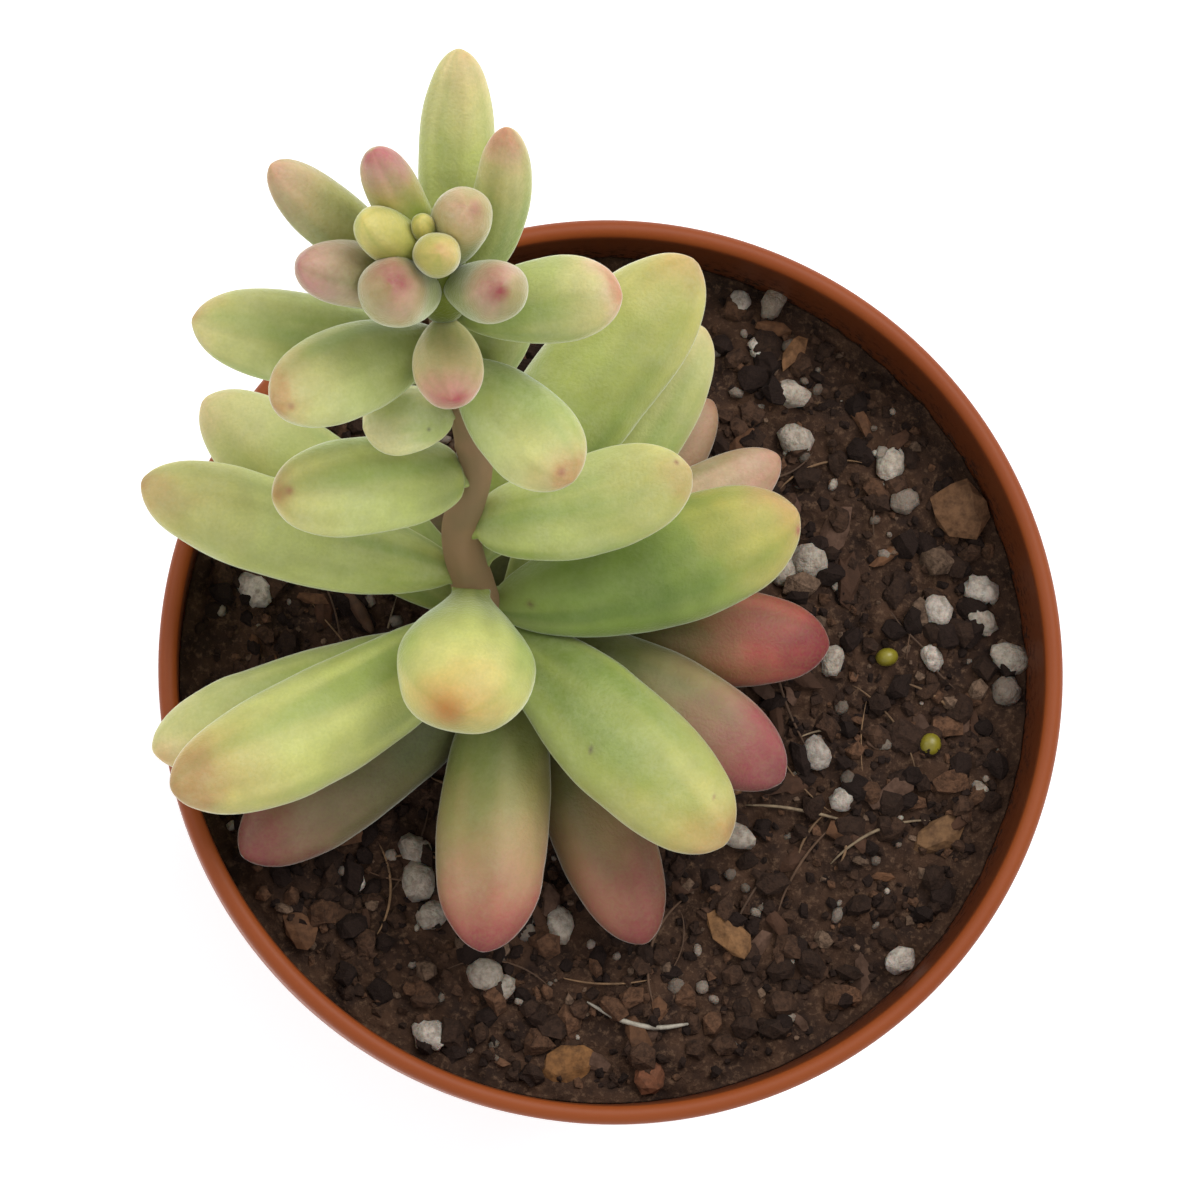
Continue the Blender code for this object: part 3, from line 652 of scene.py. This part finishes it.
crownCore = {"low": 89.5, "high": 97.0, "middle": 93.0, "half": 4.1, "radius": 1.9, "colour": "#6f7a20",
             "rows": 30, "columns": 32, "firstSeed": 60}


def makeCrown(leaves, core, material):
    # the young leaves and the middle they grow from, in one mesh
    tubes = []
    for seed, (name, leaf) in enumerate(leaves.items(), core["firstSeed"]):
        grid, s, a = leafGrid(leaf, budShape, seed)
        tubes.append((grid, leafTint(name, leaf, grid, s, a, seed)))
    height = np.linspace(core["low"], core["high"], core["rows"])
    a, z = np.meshgrid(evenTurns(core["columns"]), height)
    girth = np.sqrt(np.clip(1 - ((z - core["middle"]) / core["half"]) ** 4, 0.02, 1))
    radius = core["radius"] * girth
    grid = stemMiddle(height)[:, None] + ringPoints(radius, a, 0 * a)
    tubes.append((grid, evenTint(grid, linearOf(core["colour"]), 0.0)))
    return finishPiece(addTubes("crown", material, tubes), "young_leaf", "crown")


leafMaterial = leafSkin()
for pieceStart, nodeStart, slot, leaves, firstSeed in leafGroups:
    for seed, (key, leaf) in enumerate(leaves.items(), firstSeed):
        pieceName = pieceStart + key.title().replace("_", "")
        makeLeaf(pieceName, nodeStart + key, leaf, slot, leafMaterial, seed)
makeCrown(crownLeaves, crownCore, leafMaterial)
print("leaves made")


# Pot

pot = {"rim": 32.5, "lip": 0.7, "height": 58.0, "bandFloor": 50.0, "bandFoot": 32.3, "bandInner": 30.9,
       "bodyTop": 30.6, "base": 23.4, "wall": 1.2, "floor": 1.8, "heel": 1.0, "foot": 3.0,
       "channel": 0.6, "slope": 0.8, "pad": 7.0, "middle": 0.4, "rounding": 0.35, "lipSteps": 21,
       "longest": 2.5, "columns": 256, "sharpAngle": 50,
       "holes": 6, "holeRadius": 2.5, "holeCircle": 13.2, "holeSides": 40, "holeDepth": 10.0}


def roundCorners(outline, cornerRadius, steps=5):
    # each inner corner becomes a quadratic curve from cornerRadius before it to cornerRadius after
    points = np.array(outline, float)
    before, here, after = points[:-2], points[1:-1], points[2:]
    toBefore, toAfter = before - here, after - here
    reach = np.minimum(np.linalg.norm(toBefore, axis=1), np.linalg.norm(toAfter, axis=1)) * 0.45
    reach = np.minimum(reach, cornerRadius)[:, None]
    start, end = here + unit(toBefore) * reach, here + unit(toAfter) * reach
    t = np.linspace(0, 1, steps)[None, :, None]
    curve = (1 - t) ** 2 * start[:, None] + 2 * t * (1 - t) * here[:, None] + t**2 * end[:, None]
    return np.concatenate([points[:1], curve.reshape(-1, 2), points[-1:]])


def splitLong(profile, longest):
    # adds points along the long straight runs, so that shading and patterns stay even
    pieces = []
    for start, end in zip(profile[:-1], profile[1:]):
        count = max(1, math.ceil(np.linalg.norm(end - start) / longest))
        pieces.append(start + (end - start) * np.arange(count)[:, None] / count)
    return np.concatenate([*pieces, profile[-1:]])


def potPlastic():
    # injection-moulded polypropylene in terracotta: even colour, soft gloss, faint flow marks and
    # soil dust where it meets the mix; the inside wall is darker, as painted shade and wet soil staining
    inputs = {"Roughness": 0.5, "IOR": 1.49, "Specular IOR Level": 0.28, "Subsurface Weight": 0.06,
              "Subsurface Scale": 0.0008, "Subsurface Radius": (1.0, 0.4, 0.2)}
    material, tree, shader, place = startMaterial("mouldedTerracottaPolypropylene", inputs)
    flowMarks = noiseOf(tree, place, 14.0, 2.0)
    colour = mixOf(tree, rangeOf(tree, flowMarks, 0.35, 0.65), rgba("#8c4219"), rgba("#90461b"))
    height = addNode(tree, "SeparateXYZ", None, {"Vector": place}).outputs["Z"]
    tide = addNode(tree, "Math", {"operation": "MULTIPLY_ADD"},
                   {0: noiseOf(tree, place, 2.5, 3.0), 1: 0.004, 2: height}).outputs[0]
    inside = attributeOf(tree, "inside", "Fac")
    dirt = timesOf(tree, rangeOf(tree, tide, 0.0580, 0.0535), inside)
    specks = rangeOf(tree, noiseOf(tree, place, 0.7, 3.0, 0.7), 0.5, 0.62, 0.15, 1.0)
    dirt = timesOf(tree, dirt, specks, {"use_clamp": True})
    # painted shade with wet soil staining: the whole inside wall is darkened half way to dark brown
    colour = mixOf(tree, timesOf(tree, inside, 0.5), colour, rgba("#3c2014"))
    colour = mixOf(tree, dirt, colour, rgba("#2c1c14"))
    tree.links.new(colour, shader.inputs["Base Color"])
    tree.links.new(rangeOf(tree, dirt, 0.0, 1.0, 0.5, 0.85), shader.inputs["Roughness"])
    bumpOf(tree, shader, noiseOf(tree, place, 0.35, 2.0), 0.012)
    return material


def potProfile(look):
    # radius and height from the middle of the base, up the outside, over the round lip and down
    # the inside to the middle of the floor
    middle, wall, top = look["middle"], look["wall"], look["height"] - look["lip"]
    heelEnd = look["base"] - look["heel"]
    footEnd = heelEnd - look["foot"]
    outer = [(middle, 0), (look["pad"], 0), (look["pad"] + look["slope"], look["channel"]),
             (footEnd - look["slope"], look["channel"]), (footEnd, 0), (heelEnd, 0),
             (look["base"], look["heel"]), (look["bodyTop"], look["bandFloor"]),
             (look["bandFoot"], look["bandFloor"]), (look["rim"], top)]
    inner = [(look["rim"] - 2 * look["lip"], top), (look["bandInner"], look["bandFloor"]),
             (look["bodyTop"] - wall, look["bandFloor"] - wall), (look["base"] - wall, look["floor"]),
             (middle, look["floor"])]
    turn = np.linspace(0, math.pi, look["lipSteps"])[1:-1]
    lip = np.stack([look["rim"] - look["lip"] * (1 - np.cos(turn)),
                    look["height"] - look["lip"] * (1 - np.sin(turn))], -1)
    outer, inner = (roundCorners(outline, look["rounding"]) for outline in (outer, inner))
    return splitLong(np.concatenate([outer, lip, inner]), look["longest"])


def cutDrainHoles(piece, look):
    cutters = bmesh.new()
    radius = look["holeRadius"] * mm
    for number in range(look["holes"]):
        around = math.tau * (number + 0.5) / look["holes"]
        spot = Vector((math.cos(around), math.sin(around), 0)) * look["holeCircle"] * mm
        bmesh.ops.create_cone(cutters, cap_ends=True, segments=look["holeSides"], radius1=radius,
                              radius2=radius, depth=look["holeDepth"] * mm,
                              matrix=Matrix.Translation(spot))
    mesh = bpy.data.meshes.new("drainHoles")
    cutters.to_mesh(mesh)
    cutters.free()
    cutter = bpy.data.objects.new("drainHoles", mesh)
    bpy.context.scene.collection.objects.link(cutter)
    drain = piece.modifiers.new("drain", "BOOLEAN")
    drain.operation = "DIFFERENCE"
    drain.solver = "EXACT"
    drain.object = cutter
    bpy.context.view_layer.update()
    result = bpy.data.meshes.new_from_object(piece.evaluated_get(bpy.context.evaluated_depsgraph_get()))
    piece.modifiers.clear()
    piece.data = result
    bpy.data.objects.remove(cutter)


def makePot(look):
    # the moulding's outline turned round the Z axis, with the drain holes cut through its base
    profile = potProfile(look)
    a, r = np.meshgrid(evenTurns(look["columns"]), profile[:, 0])
    grid = ringPoints(r, a, np.repeat(profile[:, 1:], look["columns"], 1))
    afterLip = np.arange(len(profile)) > profile[:, 1].argmax()
    inner = afterLip & (profile[:, 0] < look["bandInner"] + 0.3)
    inside = closedTube(np.repeat(inner[:, None, None], look["columns"], 1) * np.ones(4))
    piece = addMesh("pot", closedTube(grid), tubeFaces(*a.shape), potPlastic(), {"inside": inside})
    cutDrainHoles(piece, look)
    piece.data.shade_smooth()
    piece.data.set_sharp_from_angle(angle=math.radians(look["sharpAngle"]))
    return finishPiece(piece, "terracotta_plastic", "pot")


makePot(pot)
print("pot made")


# Soil

soil = {"level": 51.0, "edge": 50.3, "rows": 230, "columns": 400, "lump": 0.75, "lumpSize": 5.0,
        "crumb": 0.42, "crumbSize": 1.5, "fine": 0.13, "fineSize": 0.55,
        "gap": 0.3, "roundGap": 0.33, "brimGap": 0.03}
edgeRadius = pot["bandInner"] - soil["roundGap"]
stemFoot = stemMiddle(soil["level"])[0]


def soilHeight(x, y):
    # the level with three sizes of noise: lumps, crumbs and fine grains
    flat = np.stack([x, y, np.zeros_like(x)], -1)
    relief = soil["lump"] * smoothNoise(flat, soil["lumpSize"], 1)
    relief = relief + soil["crumb"] * smoothNoise(flat, soil["crumbSize"], 2, 2)
    return soil["level"] + relief + soil["fine"] * smoothNoise(flat, soil["fineSize"], 3, 2)


def peat():
    # damp peat: nearly black-brown, matt, with paler dry fibres and reddish bark dust
    material, tree, shader, place = startMaterial("dampPeat", crumbs["surface"])
    patches = noiseOf(tree, place, 3.0, 4.0, 0.6)
    grains = noiseOf(tree, place, 0.5, 4.0, 0.7)
    colour = mixOf(tree, rangeOf(tree, patches, 0.35, 0.65), rgba("#2a1c15"), rgba("#4c3526"))
    colour = mixOf(tree, rangeOf(tree, grains, 0.52, 0.7, 0.0, 0.8), colour, rgba("#6e5440"))
    tree.links.new(colour, shader.inputs["Base Color"])
    bumpOf(tree, shader, grains, 0.25)
    return material


def tintedGrain(name, darker, grainSize, depth, inputs):
    # a grain takes its own tint from the mesh, and darker noise of this size lies over it
    material, tree, shader, place = startMaterial(name, inputs)
    tint = attributeOf(tree, "tint")
    grains = noiseOf(tree, place, grainSize, 3.0, 0.65)
    colour = mixOf(tree, rangeOf(tree, grains, 0.4, 0.65, 0.0, 0.6), tint, rgba(darker))
    tree.links.new(colour, shader.inputs["Base Color"])
    bumpOf(tree, shader, grains, depth)
    return material


def makeSoilBed(look):
    # rings in from the pot's wall to the middle at the soil's height, over a plain block
    brim = pot["bandInner"] - look["brimGap"]
    low, inset = pot["floor"] + look["gap"], pot["wall"] + look["roundGap"]
    underBand = pot["bandFloor"] - pot["wall"] + look["gap"]
    outline = [(1.0, low), (pot["base"] - inset, low), (pot["bodyTop"] - inset, underBand),
               (brim, look["edge"])]
    radii = np.linspace(brim, 0.05, look["rows"])
    turn = evenTurns(look["columns"])
    a, r = np.meshgrid(turn, radii)
    x, y = r * np.cos(a), r * np.sin(a)
    top = np.stack([x, y, np.maximum(soilHeight(x, y), look["edge"] + 0.05)], -1)
    sides = [ringPoints(radius, turn, np.full_like(turn, z)) for radius, z in outline]
    grid = np.concatenate([np.array(sides), top])
    piece = addMesh("soilBed", closedTube(grid), tubeFaces(*grid.shape[:2]), peat())
    return finishPiece(piece, "potting_mix", "soil")


def lumpShape(corners, seed):
    # points spread evenly on a ball by the sunflower rule, joined by their convex hull
    number = np.arange(corners) + 0.5
    z = 1 - 2 * number / corners
    around = number * math.pi * (3 - math.sqrt(5)) + seed
    ring = np.sqrt(1 - z**2)
    points = np.stack([ring * np.cos(around), ring * np.sin(around), z], -1)
    hull = bmesh.new()
    verts = [hull.verts.new(point) for point in points]
    bmesh.ops.convex_hull(hull, input=verts)
    hull.verts.index_update()
    faces = np.array([[v.index for v in face.verts] for face in hull.faces])
    hull.free()
    return points, faces


def turnsOf(draw, count, tilt):
    # a turn about Z, after a tilt of up to this angle about X
    spin, lean = draw.uniform(0, math.tau, count), draw.uniform(-tilt, tilt, count)
    zero, one = np.zeros(count), np.ones(count)
    c, s = np.cos(spin), np.sin(spin)
    about = np.array([[c, -s, zero], [s, c, zero], [zero, zero, one]])
    c, s = np.cos(lean), np.sin(lean)
    over = np.array([[one, zero, zero], [zero, c, -s], [zero, s, c]])
    return np.einsum("ijn,jkn->nik", about, over)


def lumpForm(corners, rough, flat, tilt=math.pi, smooth=False):
    return {"corners": corners, "rough": rough, "flat": flat, "tilt": tilt, "smooth": smooth}


def makeLumps(name, places, sizes, colours, material, draw, form):
    # every lump is the same ball of corners, pushed in and out at random, squashed and turned
    count, corners = len(places), form["corners"]
    points, faces = lumpShape(corners, 0.4)
    push = 1 + form["rough"] * draw.uniform(-1, 1, (count, corners, 1))
    stretch = np.array(form["flat"]) * draw.uniform(0.8, 1.25, (count, 1, 3))
    shapes = points[None] * push * stretch * (sizes / 2)[:, None, None]
    shapes = np.einsum("nij,nkj->nki", turnsOf(draw, count, form["tilt"]), shapes) + places[:, None]
    allFaces = (faces[None] + (np.arange(count) * corners)[:, None, None]).reshape(-1, 3)
    tint = {"tint": np.repeat(np.concatenate([colours, np.ones((count, 1))], 1), corners, 0)}
    piece = addMesh(name, shapes.reshape(-1, 3), [allFaces], material, tint, form["smooth"])
    return finishPiece(piece, "potting_mix")


def strewn(draw, count, radius, stemClear=2.2):
    # places spread evenly over the soil, clear of the stem
    spread = radius * np.sqrt(draw.uniform(0, 1, count * 2))
    around = draw.uniform(0, math.tau, count * 2)
    x, y = spread * np.cos(around), spread * np.sin(around)
    keep = np.hypot(x - stemFoot[0], y - stemFoot[1]) > stemClear
    return x[keep][:count], y[keep][:count]


def pick(draw, count, look):
    weights = np.array(look["weights"])
    chosen = draw.choice(len(weights), count, p=weights / sum(weights))
    colours = np.array([linearOf(colour) for colour in look["hexes"]])[chosen]
    return colours * draw.uniform(0.75, 1.25, (count, 1))


def atSoil(x, y, raised):
    return np.stack([x, y, soilHeight(x, y) + raised], -1)


crumbs = {"kinds": (("soilFines", 2600, (0.35, 1.0), 9), ("soilCrumbs", 620, (1.0, 2.3), 16)),
          "rough": 0.25, "flat": (1.1, 1.0, 0.8), "inset": 0.9, "raised": 0.12,
          "surface": {"Roughness": 0.92, "Specular IOR Level": 0.25},
          "hexes": ("#281b15", "#38271d", "#4b3527", "#664834", "#745d4b"), "weights": (5, 5, 4, 2, 1)}


def makeCrumbs(look, draw):
    # crumbled peat, as dark and matt as the bed
    material = tintedGrain("peatCrumbs", "#20150f", 0.4, 0.25, look["surface"])
    for name, count, size, corners in look["kinds"]:
        sizes = draw.uniform(*size, count)
        x, y = strewn(draw, count, edgeRadius - look["inset"])
        places = atSoil(x, y, look["raised"] * sizes)
        form = lumpForm(corners, look["rough"], look["flat"])
        makeLumps(name, places, sizes, pick(draw, count, look), material, draw, form)


# The placed grains and chips are x, y and size, set where the photo shows one.
perlite = {
    "placed": ((14.9, 8.6, 2.9), (13.4, 7.8, 2.0), (-13.5, -14.9, 2.9), (-13.9, -12.6, 2.6),
               (-12.6, -17.4, 2.3), (-8.8, -21.7, 2.7), (-7.6, -22.6, 2.0), (9.4, -11.5, 2.4),
               (12.4, 27.8, 2.3), (13.9, 17.5, 2.6), (13.5, 20.8, 2.3), (20.9, 15.7, 2.2),
               (21.9, 13.1, 1.9), (27.6, 6.6, 2.6), (27.6, 4.4, 2.4), (24.4, 4.9, 2.2),
               (29.7, 1.6, 2.4), (29.4, -0.8, 2.0), (-12.7, -26.0, 2.2), (-3.4, -18.1, 2.2),
               (-25.5, 6.0, 2.4), (17.1, -8.9, 1.7), (11.3, 24.1, 1.7), (21.4, -20.5, 1.9),
               (16.6, 1.3, 2.0), (23.9, 1.6, 1.9), (9.8, 27.6, 1.9), (-18.2, -14.9, 1.8),
               (15.3, -5.6, 1.9), (8.3, 14.2, 2.4)),
    "grain": {"hexes": ("#ccc0b2", "#b4a898", "#98897a"), "weights": (3, 3, 2)},
    "dust": {"hexes": ("#b4a898", "#988a7c", "#7c7064", "#665a4e"), "weights": (2, 3, 4, 3)},
    "count": 230, "size": (0.5, 1.5), "inset": 1.2, "raised": 0.15,
    "grainForm": lumpForm(70, 0.16, (1.1, 0.9, 0.8), 0.6, smooth=True),
    "dustForm": lumpForm(20, 0.15, (1.1, 0.9, 0.8), smooth=True),
    "surface": {"Roughness": 0.85, "Subsurface Weight": 0.3, "Subsurface Scale": 0.0006}}


def makePerlite(look, draw):
    # white volcanic glass, puffed and dusty: a little light goes into it
    material = tintedGrain("expandedPerlite", "#6e5f50", 0.55, 0.3, look["surface"])
    x, y, sizes = np.array(look["placed"]).T
    colours = pick(draw, len(x), look["grain"])
    places = atSoil(x, y, look["raised"] * sizes)
    makeLumps("perliteGrains", places, sizes, colours, material, draw, look["grainForm"])
    count = look["count"]
    x, y = strewn(draw, count, edgeRadius - look["inset"])
    sizes = draw.uniform(*look["size"], count) * draw.uniform(0.5, 1, count)
    colours = pick(draw, count, look["dust"])
    places = atSoil(x, y, look["raised"] * sizes)
    makeLumps("perliteDust", places, sizes, colours, material, draw, look["dustForm"])


bark = {
    "placed": ((26.0, 12.4, 4.4, "#7d5a3e"), (9.0, -18.7, 3.6, "#8a6440"), (-2.6, -28.1, 3.6, "#8a6038"),
               (24.4, -11.4, 3.4, "#7a5a3c"), (-22.1, -18.5, 2.8, "#6c4a32"), (3.2, -29.0, 2.4, "#7a4c34"),
               (20.0, -4.5, 2.2, "#6a5040"), (-20.5, 4.6, 2.4, "#4c3020"), (13.0, 12.0, 2.6, "#5a4034")),
    "chipForm": lumpForm(26, 0.16, (1.25, 0.75, 0.42), 0.35), "chipRaised": 0.25,
    "crumbForm": lumpForm(14, 0.2, (1.4, 0.6, 0.35), 0.5), "crumbRaised": 0.2,
    "count": 90, "size": (1.2, 2.8), "inset": 1.8,
    "surface": {"Roughness": 0.85, "Specular IOR Level": 0.3},
    "hexes": ("#4a3122", "#6a4830", "#7e5a3c", "#5c4436"), "weights": (4, 3, 1, 3)}


def makeBark(look, draw):
    # composted pine bark in flat red-brown chips, dry and matt
    material = tintedGrain("compostedPineBark", "#3a2619", 0.7, 0.12, look["surface"])
    x, y, sizes = np.array([chip[:3] for chip in look["placed"]]).T
    colours = np.array([linearOf(chip[3]) for chip in look["placed"]])
    places = atSoil(x, y, look["chipRaised"])
    makeLumps("barkChips", places, sizes, colours, material, draw, look["chipForm"])
    x, y = strewn(draw, look["count"], edgeRadius - look["inset"])
    sizes = draw.uniform(*look["size"], look["count"])
    colours = pick(draw, look["count"], look)
    places = atSoil(x, y, look["crumbRaised"])
    makeLumps("barkCrumbs", places, sizes, colours, material, draw, look["crumbForm"])


beads = {"placed": ((20.6, 1.6, 1.4), (23.7, -4.8, 1.4)), "colour": "#8f8426", "raised": 0.45,
         "surface": {"Roughness": 0.35, "IOR": 1.5},
         "form": lumpForm(160, 0.0, (1, 1, 1), 0.1, smooth=True)}


def makeBeads(look, draw):
    # fertiliser in a coat of yellow-green resin, smooth and a little glossy
    material = tintedGrain("coatedFertiliserBead", "#6a5f1c", 1.5, 0.02, look["surface"])
    x, y, sizes = np.array(look["placed"]).T
    colours = np.tile(linearOf(look["colour"]), (len(x), 1))
    makeLumps("fertiliserBeads", atSoil(x, y, look["raised"]), sizes, colours, material, draw, look["form"])


fibres = {
    "count": 60, "length": (3.0, 9.0), "radius": (0.06, 0.13), "bend": 1.4, "steps": 18, "sides": 6,
    "inset": 6.0, "stemClear": 5.0, "raised": 0.25,
    "hexes": ("#8a6a4a", "#5e4430", "#a08a6c"), "weights": (3, 4, 1),
    # x and y of four points, radius and colour
    "placed": ((((-1.4, -23.6), (1.0, -25.0), (3.6, -25.6), (6.3, -25.1)), 0.2, "#b0a898"),
               (((-19.0, 6.2), (-18.3, 5.2), (-17.6, 4.0), (-17.0, 3.0)), 0.5, "#5a3c26"))}


def fibreGrid(path, radius, sides):
    # a circle carried along the path, thinner towards both ends
    along = unit(np.gradient(path, axis=0))
    side = unit(np.cross(along, (0.0, 0.0, 1.0)))
    over = np.cross(side, along)
    turn = evenTurns(sides)[None, :, None]
    taper = radius * np.sqrt(np.sin(np.linspace(0.12, math.pi - 0.12, len(path))))[:, None, None]
    return path[:, None] + taper * (np.cos(turn) * side[:, None] + np.sin(turn) * over[:, None])


def strewnFibres(look, draw):
    # short arcs that lie level, each with its radius and colour
    t = np.linspace(0, 1, look["steps"])
    x, y = strewn(draw, look["count"], edgeRadius - look["inset"], look["stemClear"])
    colours = pick(draw, look["count"], look)
    for number in range(look["count"]):
        around, bend = draw.uniform(0, math.tau), draw.uniform(-look["bend"], look["bend"])
        length, radius = draw.uniform(*look["length"]), draw.uniform(*look["radius"])
        heading = around + bend * (t - 0.5)
        steps = np.stack([np.cos(heading), np.sin(heading)], -1) * length / look["steps"]
        flat = np.cumsum(steps, axis=0) - steps.sum(axis=0) / 2 + (x[number], y[number])
        yield flat, radius, colours[number]


def placedFibres(look):
    # the two that the photo shows, through their four points and smoothed
    t = np.linspace(0, 1, look["steps"])
    for path, radius, colour in look["placed"]:
        flat = np.stack([np.interp(t * 3, range(4), column) for column in np.array(path).T], -1)
        for _ in range(6):
            flat[1:-1] = (flat[:-2] + 2 * flat[1:-1] + flat[2:]) / 4
        yield flat, radius, linearOf(colour)


def makeFibres(look, draw):
    # coir: thin, dry and straw-coloured, lying on whatever is highest below
    tubes = []
    for flat, radius, colour in [*strewnFibres(look, draw), *placedFibres(look)]:
        ground = soilHeight(flat[:, 0], flat[:, 1])
        for _ in range(4):
            ground[1:-1] = np.maximum(ground[1:-1], (ground[:-2] + ground[2:]) / 2)
        path = np.column_stack([flat, ground + radius + look["raised"]])
        grid = fibreGrid(path, radius, look["sides"])
        tubes.append((grid, evenTint(grid, colour)))
    material = tintedGrain("coirFibre", "#3c2c20", 0.8, 0.03, {"Roughness": 0.8})
    return finishPiece(addTubes("coirFibres", material, tubes), "potting_mix")


makeSoilBed(soil)
mixDraw = np.random.default_rng(21)
makeCrumbs(crumbs, mixDraw)
makePerlite(perlite, mixDraw)
makeBark(bark, mixDraw)
makeBeads(beads, mixDraw)
makeFibres(fibres, np.random.default_rng(31))
print("soil made")
